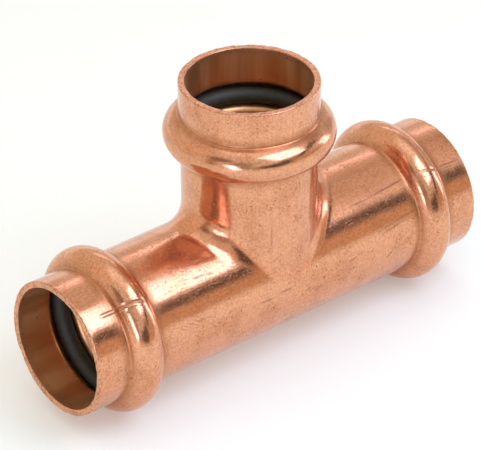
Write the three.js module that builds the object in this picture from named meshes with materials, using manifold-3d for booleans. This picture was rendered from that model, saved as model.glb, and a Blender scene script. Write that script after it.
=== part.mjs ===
// A copper press tee for 3/4 in nominal tube (22.2 mm outside diameter).
//
// One seamless copper body carries three press sockets: two on the run, along X, and one on the
// branch, along +Z. Each socket has a short plain collar at its mouth and then a rolled bead.
// The bead is hollow, and it holds an EPDM sealing ring whose inside stands a little proud of the
// bore. A tube slides in past the ring until it meets the shoulder that stops it. The branch
// leaves the run through a rounded crotch, outside and inside.
//
// Millimetres, +Z up. The origin is where the run's axis meets the branch's axis.

import * as THREE from 'three';
import { mergeVertices } from 'three/addons/utils/BufferGeometryUtils.js';
import Module from 'manifold-3d';

// Driving dimensions
const TUBE_OD = 22.2; // outside diameter of the tube that the sockets take
const TUBE_CLEARANCE = 0.1; // all round the tube, in the socket
const WALL = 1.2; // of a formed socket
const RUN_END = 43; // run mouth to the branch's axis
const BRANCH_END = 37.5; // branch mouth to the run's axis
const INSERTION_DEPTH = 22.5; // mouth to the shoulder that stops the tube
const BEAD_DEPTH = 9.9; // mouth to the middle of the bead
const BEAD_STANDS_OUT = 2.8; // beyond the collar
const BEAD_ROUND = 3.4; // radius of the bead's outline
const BEAD_CORNER = 0.5; // radius where the bead meets the collar
const EDGE_BREAK = 0.2; // the mouth's corners are broken by this much
const WATERWAY_STEP = 0.7; // height of the shoulder that stops the tube
const NECK_THINNING = 0.35; // the branch's neck is drawn thinner than the socket
const CROTCH_ROUND = 4.6; // rounding of the branch's foot, outside
const INNER_CROTCH_START = 0.2; // the inner rounding starts this far below the branch's shoulder
const SEAL_SECTION = 3.0; // diameter of the sealing ring's section
const SEAL_STANDS_IN = 0.45; // the ring's inside, proud of the bore
const SEAL_SETBACK = 0.15; // the ring sits this far past the middle of the bead

// Sizes worked out from them
const SOCKET_BORE = TUBE_OD / 2 + TUBE_CLEARANCE;
const SOCKET_OUTER = SOCKET_BORE + WALL;
const NECK = SOCKET_OUTER - NECK_THINNING;
const WATERWAY = SOCKET_BORE - WATERWAY_STEP;
const BEAD_MIDDLE = SOCKET_OUTER + BEAD_STANDS_OUT - BEAD_ROUND; // radius of the bead's own centre
const INNER_CROTCH_ROUND = BRANCH_END - INSERTION_DEPTH - INNER_CROTCH_START - WATERWAY;
const SEAL_MIDDLE = SOCKET_BORE - SEAL_STANDS_IN + SEAL_SECTION / 2;

// How finely the round surfaces are faceted
const AROUND = 40; // facets round a tube
const BEAD_STEPS = 6;
const CORNER_STEPS = 2;
const CROTCH_STEPS = 4;
const SEAL_STEPS = 10;

// The crotch's surface is sunk by this much where it runs into the run, so that the two cross cleanly.
const CROTCH_SINK = 0.08;
// Cutters reach this far past the mouths that they open.
const CUT_PAST = 1;

const wasm = await Module();
wasm.setup();

const point = (radius, height) => new THREE.Vector2(radius, height);

// Points along an arc in the plane of a profile, angles in radians.
function arc(centre, radius, from, to, steps) {
  return Array.from({ length: steps + 1 }, (_, i) => {
    const angle = from + ((to - from) * i) / steps;
    return point(centre.x + radius * Math.cos(angle), centre.y + radius * Math.sin(angle));
  });
}

// The outline of a bead, from the collar to the body, with a rounded corner on each side.
function beadOutline(height, collar, body, round, corner) {
  const middle = point(BEAD_MIDDLE, height);
  const reach = (radius) => Math.sqrt((round + corner) ** 2 - (radius + corner - BEAD_MIDDLE) ** 2);
  const upper = point(collar + corner, height + reach(collar));
  const lower = point(body + corner, height - reach(body));
  const upperAngle = Math.atan2(upper.y - middle.y, upper.x - middle.x);
  const lowerAngle = Math.atan2(middle.y - lower.y, lower.x - middle.x);
  return [
    ...arc(upper, corner, Math.PI, Math.PI + upperAngle, CORNER_STEPS),
    ...arc(middle, round, upperAngle, -lowerAngle, BEAD_STEPS).slice(1, -1),
    ...arc(lower, corner, Math.PI - lowerAngle, Math.PI, CORNER_STEPS),
  ];
}

// The outside of a socket, from its mouth at the given height inwards.
function socketOutside(end, body) {
  return [
    point(SOCKET_OUTER - EDGE_BREAK, end),
    point(SOCKET_OUTER, end - EDGE_BREAK),
    ...beadOutline(end - BEAD_DEPTH, SOCKET_OUTER, body, BEAD_ROUND, BEAD_CORNER),
  ];
}

// The inside of a socket as a cutter: past the mouth, down the bore and the bead's groove, to the shoulder.
function socketInside(end) {
  return [
    point(SOCKET_BORE + EDGE_BREAK, end + CUT_PAST),
    point(SOCKET_BORE + EDGE_BREAK, end),
    point(SOCKET_BORE, end - EDGE_BREAK),
    ...beadOutline(end - BEAD_DEPTH, SOCKET_BORE, SOCKET_BORE, BEAD_ROUND - WALL, BEAD_CORNER + WALL),
    point(SOCKET_BORE, end - INSERTION_DEPTH),
    point(WATERWAY, end - INSERTION_DEPTH),
  ];
}

const mirrored = (profile) => profile.map((p) => point(p.x, -p.y)).reverse();

// A solid turned about the run's axis, from the profile of its right half.
function turnedRun(half) {
  const profile = [point(0, half[0].y), ...half, ...mirrored(half), point(0, -half[0].y)];
  return new THREE.LatheGeometry(profile.reverse(), AROUND).rotateZ(-Math.PI / 2);
}

// The surface of a ball rolled round the corner between the neck and the run, at one angle round
// the neck: the points from where it leaves the neck to where it meets the run.
function crotchPoints(angle, neck, run, round) {
  const centre = new THREE.Vector3(Math.cos(angle), Math.sin(angle), 0).multiplyScalar(neck + round);
  centre.z = Math.sqrt(Math.max(0, (run + round) ** 2 - centre.y ** 2));
  const toNeck = new THREE.Vector3(-Math.cos(angle), -Math.sin(angle), 0);
  const toRun = new THREE.Vector3(0, -centre.y, -centre.z).normalize();
  const turn = toNeck.angleTo(toRun);
  const axis = new THREE.Vector3().crossVectors(toNeck, toRun).normalize();
  return Array.from({ length: CROTCH_STEPS + 1 }, (_, i) =>
    toNeck
      .clone()
      .applyAxisAngle(axis, (turn * i) / CROTCH_STEPS)
      .multiplyScalar(round)
      .add(centre),
  );
}

// A solid standing on the run: a turned profile, whose foot spreads over the run through the crotch.
// It is closed at the top by a cap on the axis, and below by a cone down to the origin, inside the run.
function branchOnRun(profile, neck, run, round) {
  const columns = Array.from({ length: AROUND }, (_, j) => {
    const angle = (2 * Math.PI * j) / AROUND;
    const wall = profile.map((p) => new THREE.Vector3(p.x * Math.cos(angle), p.x * Math.sin(angle), p.y));
    return [...wall, ...crotchPoints(angle, neck, run - CROTCH_SINK, round)];
  });
  const rows = columns[0].length;
  const vertices = columns.flat();
  const top = vertices.push(new THREE.Vector3(0, 0, profile[0].y)) - 1;
  const foot = vertices.push(new THREE.Vector3(0, 0, 0)) - 1;
  const faces = [];
  for (let j = 0; j < AROUND; j++) {
    const here = j * rows;
    const next = ((j + 1) % AROUND) * rows;
    faces.push(top, here, next);
    for (let i = 0; i < rows - 1; i++) {
      faces.push(here + i, here + i + 1, next + i + 1);
      faces.push(here + i, next + i + 1, next + i);
    }
    faces.push(here + rows - 1, foot, next + rows - 1);
  }
  const geometry = new THREE.BufferGeometry().setFromPoints(vertices);
  geometry.setIndex(faces);
  return geometry;
}

// A three.js geometry as a manifold-3d solid.
function solid(geometry) {
  const bare = geometry.index ? geometry.toNonIndexed() : geometry.clone();
  bare.deleteAttribute('normal');
  bare.deleteAttribute('uv');
  const merged = mergeVertices(bare, 1e-4);
  return new wasm.Manifold(
    new wasm.Mesh({
      numProp: 3,
      vertProperties: merged.attributes.position.array,
      triVerts: new Uint32Array(merged.index.array),
    }),
  );
}

// A manifold-3d solid as a three.js geometry.
function geometryOf(made) {
  const mesh = made.getMesh();
  const geometry = new THREE.BufferGeometry();
  geometry.setAttribute('position', new THREE.BufferAttribute(mesh.vertProperties, mesh.numProp));
  geometry.setIndex(new THREE.BufferAttribute(mesh.triVerts, 1));
  geometry.computeVertexNormals();
  return geometry;
}

// The body: the outside of the run and branch, less the waterway and the three sockets.
function teeBody() {
  const outside = solid(turnedRun(socketOutside(RUN_END, SOCKET_OUTER))).add(
    solid(branchOnRun(socketOutside(BRANCH_END, NECK), NECK, SOCKET_OUTER, CROTCH_ROUND)),
  );
  const inside = solid(turnedRun(socketInside(RUN_END))).add(
    solid(branchOnRun(socketInside(BRANCH_END), WATERWAY, WATERWAY, INNER_CROTCH_ROUND)),
  );
  return geometryOf(outside.subtract(inside));
}

// A sealing ring, round in section, turned about the Y axis of its own geometry.
function sealingRing() {
  const section = arc(point(SEAL_MIDDLE, 0), SEAL_SECTION / 2, 0, 2 * Math.PI, SEAL_STEPS);
  section[section.length - 1].copy(section[0]);
  return new THREE.LatheGeometry(section, AROUND);
}

const copper = new THREE.MeshStandardMaterial({ color: 0xd88a63, roughness: 0.3, metalness: 1 });
const epdm = new THREE.MeshStandardMaterial({ color: 0x17181a, roughness: 0.45, metalness: 0 });

const tee = new THREE.Group();

function addPiece(name, geometry, material) {
  const piece = new THREE.Mesh(geometry, material);
  piece.name = name;
  tee.add(piece);
  return piece;
}

addPiece('tee_body', teeBody(), copper);

// Each ring lies in its bead, on the axis of its socket.
const sealFromMouth = BEAD_DEPTH + SEAL_SETBACK;
const left = addPiece('run_left_sealing_ring', sealingRing(), epdm);
left.rotation.z = Math.PI / 2;
left.position.x = -(RUN_END - sealFromMouth);
const right = addPiece('run_right_sealing_ring', sealingRing(), epdm);
right.rotation.z = -Math.PI / 2;
right.position.x = RUN_END - sealFromMouth;
const upper = addPiece('branch_sealing_ring', sealingRing(), epdm);
upper.rotation.x = Math.PI / 2;
upper.position.z = BRANCH_END - sealFromMouth;

export default tee;
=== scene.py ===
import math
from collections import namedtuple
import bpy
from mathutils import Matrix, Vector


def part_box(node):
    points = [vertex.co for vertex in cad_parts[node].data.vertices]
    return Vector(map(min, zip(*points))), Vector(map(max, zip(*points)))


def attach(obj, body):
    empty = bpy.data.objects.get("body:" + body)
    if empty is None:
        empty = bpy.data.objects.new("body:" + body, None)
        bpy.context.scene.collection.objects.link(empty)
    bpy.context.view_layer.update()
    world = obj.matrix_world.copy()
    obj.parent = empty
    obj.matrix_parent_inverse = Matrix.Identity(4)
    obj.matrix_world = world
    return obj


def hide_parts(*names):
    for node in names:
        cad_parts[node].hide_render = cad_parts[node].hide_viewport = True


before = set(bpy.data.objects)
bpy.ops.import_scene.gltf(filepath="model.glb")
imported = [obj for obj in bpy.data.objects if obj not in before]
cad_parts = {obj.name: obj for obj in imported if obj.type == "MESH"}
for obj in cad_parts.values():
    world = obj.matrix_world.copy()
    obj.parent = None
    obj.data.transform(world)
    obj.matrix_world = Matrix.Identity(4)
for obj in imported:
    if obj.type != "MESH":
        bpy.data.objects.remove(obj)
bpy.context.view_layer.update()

# A copper press tee: one formed copper body with a rolled bead at each of its three mouths, and a
# black sealing ring in each bead. The body and the rings are made here as smooth, detailed meshes.
#
# Everything is in metres, in the part's own frame. The run lies along X, the branch stands along +Z,
# and the origin is where their axes meet. An angle round the run is measured from +Z towards -Y,
# which is the front, and an angle round the branch from -Y towards +X.

from types import SimpleNamespace

import bmesh
import bpy
import numpy as np
from mathutils import Matrix, Vector, noise

# ---------------------------------------------------------------- sizes

MM = 0.001

body_low, body_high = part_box("tee_body")
RUN_END = body_high.x
BRANCH_END = body_high.z
BEAD_OUTER = body_high.y

WALL = 1.2 * MM
SOCKET_OUTER = 12.4 * MM
SOCKET_BORE = SOCKET_OUTER - WALL
NECK = 12.05 * MM
WATERWAY = 10.5 * MM
INSERTION_DEPTH = 22.5 * MM
BEAD_DEPTH = 9.9 * MM
BEAD_ROUND = 3.4 * MM
BEAD_CORNER = 0.5 * MM
BEAD_MIDDLE = BEAD_OUTER - BEAD_ROUND
CROTCH_ROUND = 4.6 * MM
INNER_CROTCH_ROUND = 4.3 * MM
RIM_ROUND = 0.22 * MM
SHOULDER_ROUND = 0.25 * MM
SEAL_SECTION = 3.0 * MM

# ---------------------------------------------------------------- how fine the meshes are

AROUND = 240  # columns round every tube, a multiple of 4
RIM_ROWS = 4
SHOULDER_ROWS = 3
SEAL_AROUND = 128
SEAL_ROWS = 28
SUPPORT = 0.05 * MM  # a loop this close to a rounded edge keeps the flat beside it flat

Rows = namedtuple("Rows", "collar bead corner neck crotch run")
OUTSIDE_ROWS = Rows(collar=8, bead=26, corner=5, neck=16, crotch=14, run=26)
INSIDE_ROWS = Rows(collar=4, bead=12, corner=4, neck=4, crotch=8, run=10)

# A faint line runs along the run and over its beads at this angle. The columns round the run stand
# closest together there, by this share, so that its marks can be shaped.
PARTING_LINE = math.radians(42)
CROWDING = 0.6


# ---------------------------------------------------------------- profiles, as (radius, height)

def arc(centre, radius, start, end, steps):
    angles = np.linspace(start, end, steps + 1)
    return [(centre[0] + radius * math.cos(a), centre[1] + radius * math.sin(a)) for a in angles]


def straight(start, end, steps):
    """Points strictly between two points of a profile."""
    return [tuple(np.array(start) + (np.array(end) - start) * i / steps) for i in range(1, steps)]


def bead_outline(height, collar, body, bead_round, corner, rows):
    """A bead's outline from the collar to the body, with a rounded corner on each side."""
    def reach(radius):
        return math.sqrt((bead_round + corner) ** 2 - (radius + corner - BEAD_MIDDLE) ** 2)

    middle = (BEAD_MIDDLE, height)
    upper = (collar + corner, height + reach(collar))
    lower = (body + corner, height - reach(body))
    upper_angle = math.atan2(upper[1] - height, upper[0] - BEAD_MIDDLE)
    lower_angle = math.atan2(height - lower[1], lower[0] - BEAD_MIDDLE)
    return (
        arc(upper, corner, math.pi, math.pi + upper_angle, rows.corner)
        + arc(middle, bead_round, upper_angle, -lower_angle, rows.bead)[1:-1]
        + arc(lower, corner, math.pi - lower_angle, math.pi, rows.corner)
    )


def socket_outside(end, body, rows):
    """From the flat of the mouth, over its rounded edge, down the collar and over the bead."""
    rim = arc((SOCKET_OUTER - RIM_ROUND, end - RIM_ROUND), RIM_ROUND, math.pi / 2, 0, RIM_ROWS)
    bead = bead_outline(end - BEAD_DEPTH, SOCKET_OUTER, body, BEAD_ROUND, BEAD_CORNER, rows)
    top = (SOCKET_OUTER, rim[-1][1] - SUPPORT)
    return (
        [(rim[0][0] - SUPPORT, end)] + rim + [top]
        + straight(top, bead[0], rows.collar)
        + bead
    )


def socket_inside(end, waterway, rows):
    """From the flat of the mouth into the bore, round the bead's groove, to the shoulder's edge."""
    rim = arc((SOCKET_BORE + RIM_ROUND, end - RIM_ROUND), RIM_ROUND, math.pi / 2, math.pi, RIM_ROWS)
    groove = bead_outline(
        end - BEAD_DEPTH, SOCKET_BORE, SOCKET_BORE, BEAD_ROUND - WALL, BEAD_CORNER + WALL, rows
    )
    shoulder = end - INSERTION_DEPTH
    foot = (SOCKET_BORE, shoulder + SHOULDER_ROUND)
    step_middle = (SOCKET_BORE - SHOULDER_ROUND, foot[1])
    step = arc(step_middle, SHOULDER_ROUND, 0, -math.pi / 2, SHOULDER_ROWS)
    edge_middle = (waterway + SHOULDER_ROUND, shoulder - SHOULDER_ROUND)
    edge = arc(edge_middle, SHOULDER_ROUND, math.pi / 2, math.pi, SHOULDER_ROWS)
    return (
        [(rim[0][0] + SUPPORT, end)] + rim
        + straight(rim[-1], groove[0], rows.collar)
        + groove
        + straight(groove[-1], foot, rows.collar)
        + step + edge
    )


# ---------------------------------------------------------------- the tee's skins

def smoothstep(value):
    value = np.clip(value, 0.0, 1.0)
    return value * value * (3 - 2 * value)


def crotch_arc(angle, neck, run, rolled, steps):
    """Points where a ball rolled round the corner between neck and run touches, at one angle."""
    out = Vector((math.sin(angle), -math.cos(angle), 0))
    centre = out * (neck + rolled)
    centre.z = math.sqrt(max(0.0, (run + rolled) ** 2 - centre.y ** 2))
    to_neck = -out
    to_run = Vector((0, -centre.y, -centre.z)).normalized()
    turn = to_neck.angle(to_run)
    axis = to_neck.cross(to_run).normalized()
    turns = [Matrix.Rotation(turn * i / steps, 3, axis) for i in range(steps + 1)]
    return [centre + (turned @ to_neck) * rolled for turned in turns]


class Skin:
    """One sheet of a tee, open at its mouths: rings of AROUND points, with quads between them.

    branchness says from 0 to 1 how much each point belongs to the branch rather than to the run."""

    def __init__(self):
        self.points = []
        self.branchness = []
        self.quads = []
        self.mouths = []

    def ring(self, points, branchness=0.0):
        start = len(self.points)
        self.points.extend(points)
        self.branchness.extend([branchness] * len(points))
        return list(range(start, start + len(points)))

    def follow(self, ring, points, branchness=0.0):
        """Adds a ring of points and the quads that join it to the ring before it."""
        following = self.ring(points, branchness)
        for i in range(AROUND):
            k = (i + 1) % AROUND
            self.quads.append((ring[i], ring[k], following[k], following[i]))
        return following


def add_branch(skin, profile, neck, run, rolled, rows):
    """The branch from its mouth to its foot on the run. Returns the ring of points at the foot."""
    angles = [math.tau * i / AROUND for i in range(AROUND)]
    curves = [crotch_arc(a, neck, run, rolled, rows.crotch) for a in angles]

    def turned(radius, height):
        return [Vector((radius * math.sin(a), -radius * math.cos(a), height)) for a in angles]

    ring = skin.ring(turned(*profile[0]), 1.0)
    skin.mouths.append(ring)
    for radius, height in profile[1:]:
        ring = skin.follow(ring, turned(radius, height), 1.0)
    top = [skin.points[i] for i in ring]
    for row in range(1, rows.neck):
        points = [t.lerp(curve[0], row / rows.neck) for t, curve in zip(top, curves)]
        ring = skin.follow(ring, points, 1.0)
    for row in range(rows.crotch + 1):
        branchness = 1.0 - float(smoothstep(row / rows.crotch))
        ring = skin.follow(ring, [curve[row] for curve in curves], branchness)
    return ring


def add_run(skin, profile, foot, neck, run, rolled, rows):
    """Both halves of the run, from the branch's foot and the underside's middle out to the mouths."""
    half = AROUND // 2
    spread = (neck + rolled) / (run + rolled)
    widest = math.asin(spread)
    upper = [math.asin(spread * math.cos(math.pi * i / half)) for i in range(half + 1)]
    under = [-widest - (math.tau - 2 * widest) * i / half for i in range(1, half)]
    foot_angles = np.array(upper + under)
    foot_x = (neck + rolled) * np.clip(np.sin(math.tau * np.arange(AROUND) / AROUND), 0, None)
    even_angles = math.pi / 2 - math.tau * np.arange(AROUND) / AROUND
    crowded_angles = even_angles - CROWDING * np.sin(even_angles - PARTING_LINE)
    inner_end = profile[-1][1]

    def points_at(side, x, radius):
        share = smoothstep((x - neck - rolled) / (inner_end - neck - rolled))
        angles = foot_angles * (1 - share) + crowded_angles * share
        return [
            Vector((side * x[i], -radius * math.sin(a), radius * math.cos(a)))
            for i, a in enumerate(angles)
        ]

    middle = skin.ring([Vector((0, -run * math.sin(a), run * math.cos(a))) for a in under])
    for side in (1, -1):
        ring = [foot[side * i] for i in range(half + 1)] + middle
        for row in range(1, rows.run + 1):
            x = foot_x + (inner_end - foot_x) * row / rows.run
            ring = skin.follow(ring, points_at(side, x, run))
        for radius, height in reversed(profile[:-1]):
            ring = skin.follow(ring, points_at(side, np.full(AROUND, height), radius))
        skin.mouths.append(ring)


def tee_skin(socket, neck, run, rolled, rows):
    skin = Skin()
    foot = add_branch(skin, socket(BRANCH_END, neck, rows), neck, run, rolled, rows)
    add_run(skin, socket(RUN_END, run, rows), foot, neck, run, rolled, rows)
    return skin


# ---------------------------------------------------------------- wear, dents, marks and painted shade in the bead corners

# A mark is a groove on a tube, from start to end, each given as the place along the tube's axis in mm
# and the angle round it in degrees. lip is how high its sides stand, and dark how dirty it is.
Mark = namedtuple("Mark", "on_branch start end half_width depth lip dark")
MARKS = (
    Mark(False, (-39.7, 39.6), (-36.5, 39.9), 0.19, 0.045, 0.008, 1.00),
    Mark(False, (-39.4, 42.4), (-36.3, 42.8), 0.19, 0.045, 0.008, 1.00),
    Mark(False, (-36.8, 40.6), (-32.0, 44.2), 0.30, 0.110, 0.040, 0.55),
    Mark(False, (-35.4, 46.5), (-33.6, 45.2), 0.22, 0.060, 0.020, 0.35),
    Mark(False, (-19.8, 43.6), (-15.5, 45.2), 0.15, 0.025, 0.006, 0.80),
    Mark(False, (-27.5, 46.0), (-24.0, 45.5), 0.12, 0.012, 0.004, 0.30),
    Mark(False, (14.6, 43.2), (22.0, 41.6), 0.18, 0.035, 0.010, 0.85),
    Mark(False, (21.0, 41.8), (29.4, 39.0), 0.19, 0.050, 0.012, 1.00),
    Mark(False, (31.2, 41.5), (34.8, 43.5), 0.26, 0.070, 0.030, 0.45),
    Mark(False, (37.2, 42.4), (42.5, 43.4), 0.17, 0.035, 0.012, 0.80),
    Mark(False, (37.6, 45.4), (40.0, 45.8), 0.12, 0.015, 0.004, 0.40),
    Mark(False, (19.5, 71.0), (29.0, 66.5), 0.15, 0.018, 0.004, 0.75),
    Mark(False, (20.5, 74.0), (28.5, 70.5), 0.15, 0.018, 0.004, 0.65),
    Mark(False, (11.5, 96.0), (14.5, 80.0), 0.15, 0.015, 0.004, 0.65),
    Mark(False, (-9.0, 88.0), (1.0, 84.0), 0.15, 0.015, 0.004, 0.65),
    Mark(False, (22.4, 97.0), (23.4, 93.0), 0.22, 0.030, 0.006, 0.80),
    Mark(False, (26.2, 90.0), (27.2, 87.5), 0.20, 0.030, 0.006, 0.75),
    Mark(False, (-26.0, 78.0), (-18.0, 76.5), 0.14, 0.010, 0.003, 0.45),
    Mark(False, (3.0, 93.0), (6.5, 98.0), 0.15, 0.015, 0.003, 0.55),
    Mark(False, (-22.0, 92.0), (-15.5, 85.0), 0.15, 0.012, 0.003, 0.50),
    Mark(True, (9.5, -21.0), (22.0, -20.0), 0.14, 0.010, 0.003, 0.45),
    Mark(True, (28.5, 31.0), (31.2, 38.0), 0.20, 0.050, 0.015, 0.50),
    Mark(True, (33.6, 3.0), (32.4, 9.0), 0.10, 0.010, 0.002, 0.35),
    Mark(True, (12.2, 2.0), (13.0, 3.0), 0.20, 0.020, 0.005, 0.50),
    Mark(True, (14.8, 2.6), (16.1, 2.2), 0.18, 0.020, 0.005, 0.60),
    Mark(True, (17.4, 3.2), (18.1, 2.4), 0.20, 0.020, 0.005, 0.45),
    Mark(True, (20.6, 2.2), (21.8, 2.8), 0.18, 0.020, 0.005, 0.55),
)

# A mark's sides and dirt, in half widths of its groove, and how its depth runs out at its ends.
LIP_PLACE = 1.6
LIP_WIDTH = 0.5
DIRT_REACH = 1.3
END_SHARE = 0.25
END_SLOPE = 4

# Each kind of unevenness: how far it moves the wall, the size of its swells, and where its noise is read.
Noise = namedtuple("Noise", "height size shift")
SWELLS = Noise(0.030 * MM, 7 * MM, 0.0)
RIPPLES = Noise(0.006 * MM, 1.6 * MM, 31.0)
RIM_NICKS = Noise(0.24 * MM, 1.1 * MM, 7.0)
RIM_WANDER = Noise(0.05 * MM, 2.3 * MM, 53.0)
NICK_THRESHOLD = 0.05  # the rim is whole where the nicks' noise is below this
RIM_REACH = 0.5 * MM  # the rim's wear fades out this far from the mouth

# Shade is painted in the corners beside a bead, this far along the tube and this high up the bead.
CREASE_REACH = 1.6 * MM
CREASE_HEIGHT = 1.8 * MM


def mesh_arrays(mesh):
    """The places and normals of a mesh's points."""
    places = np.empty(len(mesh.vertices) * 3)
    mesh.vertices.foreach_get("co", places)
    normals = np.empty(len(mesh.vertices) * 3, np.float32)
    mesh.vertex_normals.foreach_get("vector", normals)
    return places.reshape(-1, 3), normals.reshape(-1, 3)


def tube_places(places, branchness):
    """For each point, its place along its tube's axis, its angle round it and its distance off it."""
    x, y, z = places.T
    on_branch = branchness > 0.5
    along = np.where(on_branch, z, x)
    angle = np.where(on_branch, np.arctan2(x, -y), np.arctan2(-y, z))
    off_axis = np.where(on_branch, np.hypot(x, y), np.hypot(y, z))
    return along, angle, off_axis


def marks(along, angle, branchness):
    """How far out each point is pushed by the marks, and how dark they make it."""
    depth = np.zeros(len(along))
    darkness = np.zeros(len(along))
    place = np.stack([along / MM, angle * SOCKET_OUTER / MM], axis=1)
    for mark in MARKS:
        ends = [
            np.array((along_axis, math.radians(degrees) * SOCKET_OUTER / MM))
            for along_axis, degrees in (mark.start, mark.end)
        ]
        way = ends[1] - ends[0]
        share = np.clip((place - ends[0]) @ way / (way @ way), 0, 1)
        off = np.linalg.norm(place - ends[0] - share[:, None] * way, axis=1) / mark.half_width
        taper = smoothstep(END_SLOPE * np.minimum(share, 1 - share) + END_SHARE)
        off[(branchness > 0.5) != mark.on_branch] = np.inf
        groove = np.clip(1 - off * off, 0, None) ** 2
        lips = np.exp(-((off - LIP_PLACE) / LIP_WIDTH) ** 2)
        depth += (mark.lip * lips - mark.depth * groove) * taper * MM
        darkness = np.maximum(darkness, mark.dark * taper * (1 - smoothstep(off / DIRT_REACH)))
    return depth, darkness


def noise_at(places, kind):
    """Smooth noise from -1 to 1 at each place."""
    offset = Vector((kind.shift, kind.shift, kind.shift))
    return np.array([noise.noise(Vector(place) / kind.size + offset) for place in places])


def unevenness(places):
    return SWELLS.height * noise_at(places, SWELLS) + RIPPLES.height * noise_at(places, RIPPLES)


def rim_wear(places, along, branchness):
    """How nicks and wander push each mouth's rim, where it was cut, and how near each point is to it."""
    on_branch = branchness > 0.5
    end = np.where(on_branch, BRANCH_END, RUN_END)
    near = smoothstep(1 - (end - np.abs(along)) / RIM_REACH)
    close = near > 0
    nicks = np.zeros(len(places))
    wander = np.zeros(len(places))
    nicks[close] = np.clip(noise_at(places[close], RIM_NICKS) - NICK_THRESHOLD, 0, None)
    wander[close] = noise_at(places[close], RIM_WANDER)
    axis = np.where(on_branch[:, None], (0, 0, 1), np.sign(along)[:, None] * np.array((1, 0, 0)))
    radial = places - axis * np.sum(places * axis, axis=1)[:, None]
    radial /= np.linalg.norm(radial, axis=1)[:, None]
    push = radial * wander[:, None] * RIM_WANDER.height - axis * nicks[:, None] * RIM_NICKS.height
    return push * near[:, None], near


def shade_in_bead_corners(along, off_axis, branchness):
    """1 in the corners on each side of a bead, where shade is painted, falling to 0 away from them."""
    bead = np.where(branchness > 0.5, BRANCH_END, RUN_END) - BEAD_DEPTH
    reach = math.sqrt((BEAD_ROUND + BEAD_CORNER) ** 2 - (SOCKET_OUTER + BEAD_CORNER - BEAD_MIDDLE) ** 2)
    off = np.abs(np.abs(np.abs(along) - bead) - reach)
    low = 1 - smoothstep((off_axis - SOCKET_OUTER) / CREASE_HEIGHT)
    return (1 - smoothstep(off / CREASE_REACH)) * low


# ---------------------------------------------------------------- the pieces

def new_object(name, points, faces):
    """A closed piece, smooth all over, with its faces turned outwards."""
    mesh = bpy.data.meshes.new(name)
    mesh.from_pydata(points, [], faces)
    shape = bmesh.new()
    shape.from_mesh(mesh)
    bmesh.ops.recalc_face_normals(shape, faces=shape.faces)
    shape.to_mesh(mesh)
    shape.free()
    mesh.shade_smooth()
    piece = bpy.data.objects.new(name, mesh)
    bpy.context.scene.collection.objects.link(piece)
    return piece


def store(mesh, name, values):
    attribute = mesh.attributes.new(name, "FLOAT", "POINT")
    attribute.data.foreach_set("value", np.asarray(values, np.float32))


def joined_skins():
    """The outside and inside skins as one closed piece, with its points' branchness and insideness."""
    outside = tee_skin(socket_outside, NECK, SOCKET_OUTER, CROTCH_ROUND, OUTSIDE_ROWS)
    inside = tee_skin(socket_inside, WATERWAY, WATERWAY, INNER_CROTCH_ROUND, INSIDE_ROWS)
    shift = len(outside.points)
    faces = outside.quads + [tuple(i + shift for i in quad) for quad in inside.quads]
    for outer, inner in zip(outside.mouths, inside.mouths):
        for i in range(AROUND):
            k = (i + 1) % AROUND
            faces.append((outer[k], outer[i], inner[i] + shift, inner[k] + shift))
    piece = new_object("tee_body_skin", outside.points + inside.points, faces)
    branchness = np.array(outside.branchness + inside.branchness)
    is_inside = np.array([0.0] * shift + [1.0] * len(inside.points))
    return piece, branchness, is_inside


def tee_body():
    """The body with its wear. What its material has to know is stored on its points."""
    piece, branchness, is_inside = joined_skins()
    is_outside = 1 - is_inside
    places, normals = mesh_arrays(piece.data)
    along, round_angle, off_axis = tube_places(places, branchness)
    depth, darkness = marks(along, round_angle, branchness)
    depth = (depth + unevenness(places)) * is_outside
    places += normals * depth[:, None]
    push, near_rim = rim_wear(places, along, branchness)
    places += push
    piece.data.vertices.foreach_set("co", places.ravel())
    piece.data.update()
    store(piece.data, "branchness", branchness)
    store(piece.data, "inside", is_inside * (1 - near_rim))
    store(piece.data, "rim", near_rim)
    store(piece.data, "mark", darkness * is_outside)
    # the corners beside each bead, where shade is painted
    store(piece.data, "crease", shade_in_bead_corners(along, off_axis, branchness) * is_outside)
    return piece


def sealing_ring(name, centre, axis):
    """A ring of round section, which lies across its socket's axis."""
    low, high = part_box(name)
    outer = max(high - low) / 2
    middle = outer - SEAL_SECTION / 2
    turn = Vector((0, 0, 1)).rotation_difference(Vector(axis)).to_matrix()
    points = []
    for i in range(SEAL_AROUND):
        a = math.tau * i / SEAL_AROUND
        for j in range(SEAL_ROWS):
            b = math.tau * j / SEAL_ROWS
            radius = middle + SEAL_SECTION / 2 * math.cos(b)
            local = Vector((radius * math.cos(a), radius * math.sin(a), SEAL_SECTION / 2 * math.sin(b)))
            points.append(turn @ local + Vector(centre))
    faces = []
    for i in range(SEAL_AROUND):
        k = (i + 1) % SEAL_AROUND
        for j in range(SEAL_ROWS):
            m = (j + 1) % SEAL_ROWS
            faces.append((i * SEAL_ROWS + j, k * SEAL_ROWS + j, k * SEAL_ROWS + m, i * SEAL_ROWS + m))
    return new_object(name + "_moulded", points, faces)


# ---------------------------------------------------------------- materials

def node(tree, kind, inputs=None, **settings):
    """Adds a shader node. Each input is a constant or the socket that it is linked from."""
    made = tree.nodes.new("ShaderNode" + kind)
    for name, value in settings.items():
        setattr(made, name, value)
    for key, value in (inputs or {}).items():
        if isinstance(value, bpy.types.NodeSocket):
            tree.links.new(value, made.inputs[key])
        else:
            made.inputs[key].default_value = value
    return made


def math_node(tree, operation, *values):
    return node(tree, "Math", dict(enumerate(values)), operation=operation).outputs[0]


def set_or_link(tree, inputs, values):
    """Gives each input of a node its value, which is a constant or a socket."""
    for socket, value in zip(inputs, values):
        if isinstance(value, bpy.types.NodeSocket):
            tree.links.new(value, socket)
        else:
            socket.default_value = value


def mixed(tree, share, first, second):
    """A number between two others."""
    made = node(tree, "Mix", {"Factor": share}, data_type="FLOAT")
    set_or_link(tree, made.inputs[2:4], (first, second))
    return made.outputs[0]


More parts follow.
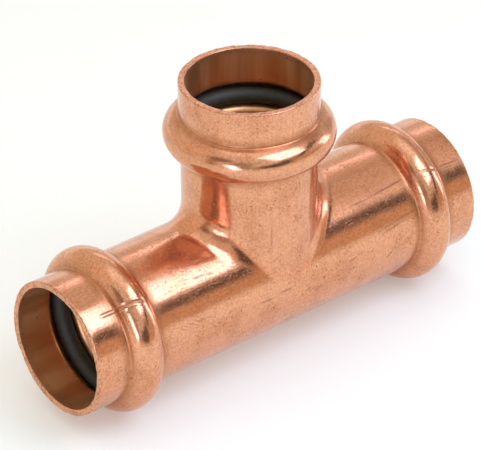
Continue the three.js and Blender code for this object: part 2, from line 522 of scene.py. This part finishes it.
def mixed_colour(tree, share, first, second):
    made = node(tree, "Mix", {"Factor": share}, data_type="RGBA")
    set_or_link(tree, made.inputs[6:8], (first, second))
    return made.outputs[2]


def times(tree, first, second):
    return math_node(tree, "MULTIPLY", first, second)


def any_of(tree, *values):
    """The largest of some values."""
    largest = values[0]
    for value in values[1:]:
        largest = math_node(tree, "MAXIMUM", largest, value)
    return largest


def grain(tree, vector, size, detail=3.0, roughness=0.55):
    """Noise whose largest blobs are about this size in metres."""
    inputs = {"Vector": vector, "Scale": 1 / size, "Detail": detail, "Roughness": roughness}
    return node(tree, "TexNoise", inputs).outputs["Fac"]


def band(tree, value, low, high, to_low=0.0, to_high=1.0):
    """value stretched so that low to high becomes to_low to to_high, and cut off beyond them."""
    inputs = {0: value, 1: low, 2: high, 3: to_low, 4: to_high}
    return node(tree, "MapRange", inputs, interpolation_type="SMOOTHSTEP").outputs[0]


def stretched(tree, vector, scale):
    return node(tree, "Mapping", {"Vector": vector, "Scale": scale}).outputs[0]


def new_material(name):
    material = bpy.data.materials.new(name)
    material.use_nodes = True
    tree = material.node_tree
    surface = tree.nodes["Principled BSDF"]
    return material, tree, surface


COPPER = (0.79, 0.375, 0.20, 1)
COPPER_WORN = (0.80, 0.41, 0.265, 1)
# painted shade: the corners beside each bead are darkened to this orange-brown
COPPER_SHADE_IN_CORNERS = (0.45, 0.175, 0.07, 1)
COPPER_TARNISHED = (0.60, 0.255, 0.125, 1)
# painted light: the bores' copper is lighter and paler than the outside's, brightening the shade inside
# them
COPPER_INSIDE_PAINTED_LIGHTER = (0.99, 0.64, 0.33, 1)
# darker, redder copper laid across the crotch between branch and run
COPPER_CROTCH_DARKENING = (0.72, 0.275, 0.135, 1)
COPPER_STREAKED = (0.68, 0.31, 0.11, 1)
PIT = (0.16, 0.07, 0.04, 1)
COPPER_METALLIC = 0.88  # below 1, for the thin oxide on it
EPDM_DARK = (0.036, 0.038, 0.028, 1)
EPDM_DUSTY = (0.058, 0.060, 0.046, 1)

SCRATCH_DIRECTIONS = (4, -11, 57)  # degrees from the tube's axis
HAIRLINE_WIDTH = 0.09 * MM
HAIRLINE_LENGTH = 4 * MM
HAIRLINE_RARITY = 0.72  # hairlines show where their noise is above this


def tube_coordinates(tree, place, branchness):
    """The place along the tube's axis and the way round it, both in metres, as x and y of a vector."""
    xyz = node(tree, "SeparateXYZ", {"Vector": place}).outputs
    towards_front = math_node(tree, "MULTIPLY", xyz["Y"], -1.0)
    run_angle = math_node(tree, "ARCTAN2", towards_front, xyz["Z"])
    branch_angle = math_node(tree, "ARCTAN2", xyz["X"], towards_front)
    on_branch = math_node(tree, "GREATER_THAN", branchness, 0.5)
    along = mixed(tree, on_branch, xyz["X"], xyz["Z"])
    angle = mixed(tree, on_branch, run_angle, branch_angle)
    around = math_node(tree, "MULTIPLY", angle, SOCKET_OUTER)
    return node(tree, "CombineXYZ", {"X": along, "Y": around}).outputs[0]


def scratches(tree, surface, degrees, width, length, rarity):
    """Hairlines this wide and long, turned by some degrees from the tube's axis: 1 in each of them."""
    settings = {"Vector": surface, "Rotation": (0, 0, math.radians(degrees))}
    turned = node(tree, "Mapping", settings).outputs[0]
    drawn = stretched(tree, turned, (width / length, 1, 1))
    return band(tree, grain(tree, drawn, 2.2 * width, 1.0), rarity, rarity + 0.05)


def copper_patterns(tree):
    """The patterns of the copper's wear and painted shade, from 0 to 1: the body's stored attributes, and
    noise.
    """
    place = node(tree, "TexCoord").outputs["Object"]
    on = SimpleNamespace(place=place)
    for name in ("branchness", "inside", "mark", "crease", "rim"):
        setattr(on, name, node(tree, "Attribute", attribute_name=name).outputs["Fac"])
    unrolled = tube_coordinates(tree, place, on.branchness)

    # Draw lines and streaks run along each tube, and turning marks run round it, inside the sockets.
    along_run = grain(tree, stretched(tree, place, (0.04, 1, 1)), 0.35 * MM, 2)
    along_branch = grain(tree, stretched(tree, place, (1, 1, 0.04)), 0.35 * MM, 2)
    on.draw_lines = mixed(tree, on.branchness, along_run, along_branch)
    on.turning = grain(tree, stretched(tree, unrolled, (1, 0.03, 1)), 0.3 * MM, 3)
    on.streaks = grain(tree, stretched(tree, unrolled, (0.10, 1, 1)), 4.5 * MM, 3, 0.4)

    on.clouds = grain(tree, place, 5 * MM, 4)
    on.mottle = grain(tree, place, 1.3 * MM, 5, 0.65)
    on.fine = grain(tree, place, 0.45 * MM, 5, 0.8)

    hairlines = any_of(
        tree,
        *(
            scratches(tree, unrolled, angle, HAIRLINE_WIDTH, HAIRLINE_LENGTH, HAIRLINE_RARITY)
            for angle in SCRATCH_DIRECTIONS
        ),
    )
    on.hairlines = times(tree, hairlines, band(tree, on.clouds, 0.38, 0.6))

    specks = band(tree, grain(tree, place, 0.42 * MM, 3, 0.7), 0.59, 0.67)
    specks = times(tree, specks, band(tree, on.clouds, 0.35, 0.65, 0.25, 1))
    on.specks = times(tree, specks, math_node(tree, "SUBTRACT", 1.0, on.inside))
    on.pits = band(tree, grain(tree, place, 0.5 * MM, 1.0), 0.745, 0.79)
    on.flecks = times(tree, on.rim, band(tree, grain(tree, place, 0.45 * MM, 2), 0.5, 0.62))
    return on


def copper_colour(tree, on):
    """Layers of colour, each laid over those before it by a share that a pattern gives."""
    dulled = times(
        tree,
        band(tree, on.fine, 0.41, 0.62),
        band(tree, on.clouds, 0.35, 0.65, 0.65, 1.0),
    )
    in_streaks = times(tree, on.inside, band(tree, on.streaks, 0.36, 0.64, 0, 0.8))
    # painted shade in the corners beside each bead
    shade_in_corners = times(tree, on.crease, band(tree, on.mottle, 0.3, 0.6, 0.45, 0.85))
    in_crotch = times(tree, on.branchness, math_node(tree, "SUBTRACT", 1.0, on.branchness))
    # the crotch between branch and run is made darker and redder, patchy with the clouds
    crotch_darkening = times(
        tree,
        band(tree, in_crotch, 0.02, 0.2),
        band(tree, on.clouds, 0.40, 0.60, 0.15, 0.7),
    )
    layers = (
        (band(tree, on.mottle, 0.35, 0.7), COPPER_WORN),
        (dulled, COPPER_TARNISHED),
        (band(tree, on.clouds, 0.48, 0.72, 0, 0.6), COPPER_TARNISHED),
        (band(tree, on.mottle, 0.52, 0.66, 0, 0.45), COPPER_TARNISHED),
        (band(tree, on.draw_lines, 0.52, 0.75, 0, 0.5), COPPER_TARNISHED),
        # painted light inside the bores
        (times(tree, on.inside, 0.9), COPPER_INSIDE_PAINTED_LIGHTER),
        (in_streaks, COPPER_STREAKED),
        # painted shade in the bead corners
        (shade_in_corners, COPPER_SHADE_IN_CORNERS),
        (crotch_darkening, COPPER_CROTCH_DARKENING),
        (times(tree, on.specks, 0.75), PIT),
        (times(tree, on.hairlines, 0.6), PIT),
        (times(tree, on.mark, 0.9), PIT),
        (times(tree, on.flecks, 0.35), PIT),
        (times(tree, on.pits, 0.85), PIT),
    )
    colour = COPPER
    for share, laid_over in layers:
        colour = mixed_colour(tree, share, colour, laid_over)
    return colour


def copper_roughness(tree, on):
    polished = mixed(tree, band(tree, on.mottle, 0.3, 0.7), 0.11, 0.16)
    turned_inside = band(tree, on.streaks, 0.36, 0.64, 0.40, 0.31)
    rough = mixed(tree, on.inside, polished, turned_inside)
    dirty = any_of(tree, on.specks, on.hairlines, on.crease, on.rim)
    rough = mixed(tree, times(tree, dirty, 0.6), rough, 0.42)
    return mixed(tree, any_of(tree, on.pits, on.mark), rough, 0.55)


def copper_normal(tree, on):
    """Bumps laid over one another, each a pattern and the height that it stands for."""
    bumps = (
        (grain(tree, on.place, 1.2 * MM, 3), 0.008 * MM),
        (mixed(tree, on.inside, on.draw_lines, on.turning), 0.004 * MM),
        (on.fine, 0.007 * MM),
        (any_of(tree, on.hairlines, on.specks), -0.009 * MM),
        (any_of(tree, on.pits, on.flecks), -0.02 * MM),
    )
    normal = None
    for height, distance in bumps:
        settings = {"Height": height, "Strength": 1.0, "Distance": distance}
        if normal is not None:
            settings["Normal"] = normal
        normal = node(tree, "Bump", settings).outputs[0]
    return normal


def copper():
    material, tree, surface = new_material("copper_drawn")
    on = copper_patterns(tree)
    tree.links.new(copper_colour(tree, on), surface.inputs["Base Color"])
    tree.links.new(copper_roughness(tree, on), surface.inputs["Roughness"])
    tree.links.new(copper_normal(tree, on), surface.inputs["Normal"])
    surface.inputs["Metallic"].default_value = COPPER_METALLIC
    return material


def epdm():
    material, tree, surface = new_material("epdm_black")
    place = node(tree, "TexCoord").outputs["Object"]
    dust = grain(tree, place, 0.8 * MM, 5, 0.7)
    fine = grain(tree, place, 0.15 * MM, 2)
    colour = mixed_colour(tree, band(tree, dust, 0.45, 0.75), EPDM_DARK, EPDM_DUSTY)
    tree.links.new(colour, surface.inputs["Base Color"])
    tree.links.new(band(tree, dust, 0.3, 0.7, 0.52, 0.64), surface.inputs["Roughness"])
    bump = node(tree, "Bump", {"Height": fine, "Strength": 1.0, "Distance": 0.004 * MM})
    tree.links.new(bump.outputs[0], surface.inputs["Normal"])
    return material


# ---------------------------------------------------------------- making it

body = tee_body()
body.data.materials.append(copper())
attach(body, "root")
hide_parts("tee_body")

rubber = epdm()
for name in ("run_left_sealing_ring", "run_right_sealing_ring", "branch_sealing_ring"):
    low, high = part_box(name)
    axis = (0, 0, 1) if name.startswith("branch") else (1, 0, 0)
    ring = sealing_ring(name, (low + high) / 2, axis)
    ring.data.materials.append(rubber)
    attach(ring, "root")
    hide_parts(name)

# ---------------------------------------------------------------- floor, light and camera

FLOOR_SIZE = 4.0
SOFTBOX_COLOUR = (0.64, 0.68, 1.0)
FLOOR_COLOUR = (0.78, 0.82, 0.77, 1)
FLOOR_GLOW = 0.22  # the floor glows a little itself, so that shadows stay pale


def direction(azimuth, elevation):
    """A unit vector. Azimuth 0 is the front, -Y, and 90 is the right, +X. In degrees."""
    a, e = math.radians(azimuth), math.radians(elevation)
    return Vector((math.sin(a) * math.cos(e), -math.cos(a) * math.cos(e), math.sin(e)))


def studio_floor():
    half = FLOOR_SIZE / 2
    corners = [(-half, -half), (half, -half), (half, half), (-half, half)]
    mesh = bpy.data.meshes.new("floor")
    mesh.from_pydata([(x, y, body_low.z) for x, y in corners], [], [(0, 1, 2, 3)])
    floor = bpy.data.objects.new("floor", mesh)
    bpy.context.scene.collection.objects.link(floor)
    material, tree, surface = new_material("floor_pale")
    surface.inputs["Base Color"].default_value = FLOOR_COLOUR
    surface.inputs["Roughness"].default_value = 0.9
    surface.inputs["Emission Color"].default_value = (1, 1, 1, 1)
    surface.inputs["Emission Strength"].default_value = FLOOR_GLOW
    surface.inputs["Specular IOR Level"].default_value = 0.2
    mesh.materials.append(material)


def softbox(name, azimuth, elevation, width, height, brightness, distance, lean=0.0):
    """A rectangular light that subtends width by height degrees, with a given radiance.

    Its top leans to the left by lean degrees, as seen from the object."""
    light = bpy.data.lights.new(name, "AREA")
    light.shape = "RECTANGLE"
    light.size = 2 * distance * math.tan(math.radians(width) / 2)
    light.size_y = 2 * distance * math.tan(math.radians(height) / 2)
    light.energy = brightness * math.pi * light.size * light.size_y
    light.color = SOFTBOX_COLOUR
    towards = direction(azimuth, elevation)
    lamp = bpy.data.objects.new(name, light)
    lamp.location = towards * distance
    turn = Matrix.Rotation(math.radians(lean), 3, towards)
    lamp.rotation_euler = (turn @ towards.to_track_quat("Z", "Y").to_matrix()).to_euler()
    lamp.visible_camera = False
    bpy.context.scene.collection.objects.link(lamp)


def world_patch(tree, towards, azimuth, elevation, width, height):
    """1 in the middle of a soft oval in the world, falling to 0 at its edge. Sizes are half angles."""
    middle = direction(azimuth, elevation)
    right = direction(azimuth + 90, 0)
    up = middle.cross(right) * -1
    parts = []
    for axis, size in ((right, width), (up, height)):
        dot = node(tree, "VectorMath", {0: towards, 1: axis}, operation="DOT_PRODUCT").outputs["Value"]
        share = math_node(tree, "DIVIDE", dot, math.sin(math.radians(size)))
        parts.append(times(tree, share, share))
    ahead = node(tree, "VectorMath", {0: towards, 1: middle}, operation="DOT_PRODUCT").outputs["Value"]
    distance = math_node(tree, "SQRT", math_node(tree, "ADD", *parts))
    soft = band(tree, distance, *PATCH_EDGE, 1, 0)
    return times(tree, soft, math_node(tree, "GREATER_THAN", ahead, 0.0))


WORLD_COLOUR = (0.84, 0.82, 0.79)
PATCH_EDGE = (0.6, 1.2)  # a patch fades between these shares of its half width and height
GAP_EDGE = (0.7, 1.15)  # and the gap between these shares of its half thickness
WORLD_PATCHES = (
    # azimuth, elevation, half width, half height, colour, strength
    (-150, 30, 62, 60, (0.86, 0.80, 0.69), 0.95),
    (0, 88, 26, 26, (1.25, 1.28, 1.28), 1.0),
    (138, 38, 17, 7, (1.9, 1.8, 2.1), 1.0),
    (150, 0, 60, 16, (1.15, 1.18, 1.2), 1.0),
    (62, 47, 22, 13, (1.12, 1.06, 1.03), 1.0),
    (-124, 40, 16, 30, (0.93, 0.78, 0.66), 1.0),
    (98, 50, 34, 13, (0.76, 0.67, 0.59), 1.0),
    (34, 8, 32, 14, (0.70, 0.51, 0.33), 1.0),
    (-50, 60, 26, 18, (0.88, 0.87, 0.79), 1.0),
    (-50, 18, 15, 22, (0.42, 0.38, 0.33), 1.0),
    (-42, 0, 18, 5, (0.42, 0.34, 0.26), 1.0),
    (100, 6, 12, 26, (0.57, 0.53, 0.49), 1.0),
    (-89, 10, 7, 32, (0.46, 0.32, 0.21), 1.0),
    (-81, 37, 15, 12, (0.25, 0.20, 0.15), 1.0),
)

# A dark gap in the surroundings that rises from the horizon in front to high on the right: the ring of
# directions at this angle from the axis.
GAP_AXIS = (-55, 66.5)
GAP_ANGLE = 67.8
GAP_COLOUR = (0.05, 0.035, 0.02)
GAP_PATCHES = (
    # azimuth, elevation, half width, half height, half thickness in degrees, strength
    (-8, 16, 26, 26, 11, 1.0),
    (48, 28, 28, 22, 5.4, 1.0),
    (84, 45, 26, 22, 7, 0.4),
)


def world_gap(tree, towards, half_thickness):
    """1 on the dark gap's ring of directions, falling to 0 on each side of it."""
    axis = direction(*GAP_AXIS)
    dot = node(tree, "VectorMath", {0: towards, 1: axis}, operation="DOT_PRODUCT").outputs["Value"]
    off = math_node(tree, "ABSOLUTE", math_node(tree, "SUBTRACT", dot, math.cos(math.radians(GAP_ANGLE))))
    edge = math.sin(math.radians(half_thickness))
    return band(tree, off, GAP_EDGE[0] * edge, GAP_EDGE[1] * edge, 1, 0)


def studio_world():
    """A plain room, with soft, broad patches of light and dark that the copper reflects."""
    world = bpy.data.worlds.new("studio")
    world.use_nodes = True
    tree = world.node_tree
    towards = node(tree, "TexCoord").outputs["Generated"]
    colour = (*WORLD_COLOUR, 1)
    for azimuth, elevation, width, height, patch_colour, strength in WORLD_PATCHES:
        patch = world_patch(tree, towards, azimuth, elevation, width, height)
        colour = mixed_colour(tree, times(tree, patch, strength), colour, (*patch_colour, 1))
    for azimuth, elevation, width, height, thickness, strength in GAP_PATCHES:
        patch = times(
            tree,
            world_patch(tree, towards, azimuth, elevation, width, height),
            world_gap(tree, towards, thickness),
        )
        colour = mixed_colour(tree, times(tree, patch, strength), colour, (*GAP_COLOUR, 1))
    tree.links.new(colour, tree.nodes["Background"].inputs["Color"])
    bpy.context.scene.world = world


studio_floor()
studio_world()
softbox(
    "key_softbox", azimuth=19.4, elevation=54.4, width=36, height=33, brightness=4.0, distance=0.2545
)
softbox(
    "left_strip", azimuth=-59.6, elevation=11.0, width=11, height=22, brightness=6.0,
    distance=0.2036, lean=28,
)
softbox(
    "right_strip", azimuth=74, elevation=8, width=13, height=30, brightness=3.9,
    distance=0.8, lean=12,
)
bpy.context.scene.view_settings.view_transform = "Standard"

CAMERA_AZIMUTH = -39.56
CAMERA_ELEVATION = 32.24
CAMERA_ROLL = math.radians(-0.1)
CAMERA_PLACE = Vector((-337.61, -406.49, 341.11)) * MM
CAMERA_LENS = 263.5
CAMERA_SENSOR = 36

camera_data = bpy.data.cameras.new("camera")
camera_data.lens = CAMERA_LENS
camera_data.sensor_width = CAMERA_SENSOR
camera_data.clip_start = 0.01
camera = bpy.data.objects.new("camera", camera_data)
back = direction(CAMERA_AZIMUTH, CAMERA_ELEVATION)
camera.location = CAMERA_PLACE
rolled_back = Matrix.Rotation(CAMERA_ROLL, 3, back) @ back.to_track_quat("Z", "Y").to_matrix()
camera.rotation_euler = rolled_back.to_euler()
bpy.context.scene.collection.objects.link(camera)
bpy.context.scene.camera = camera
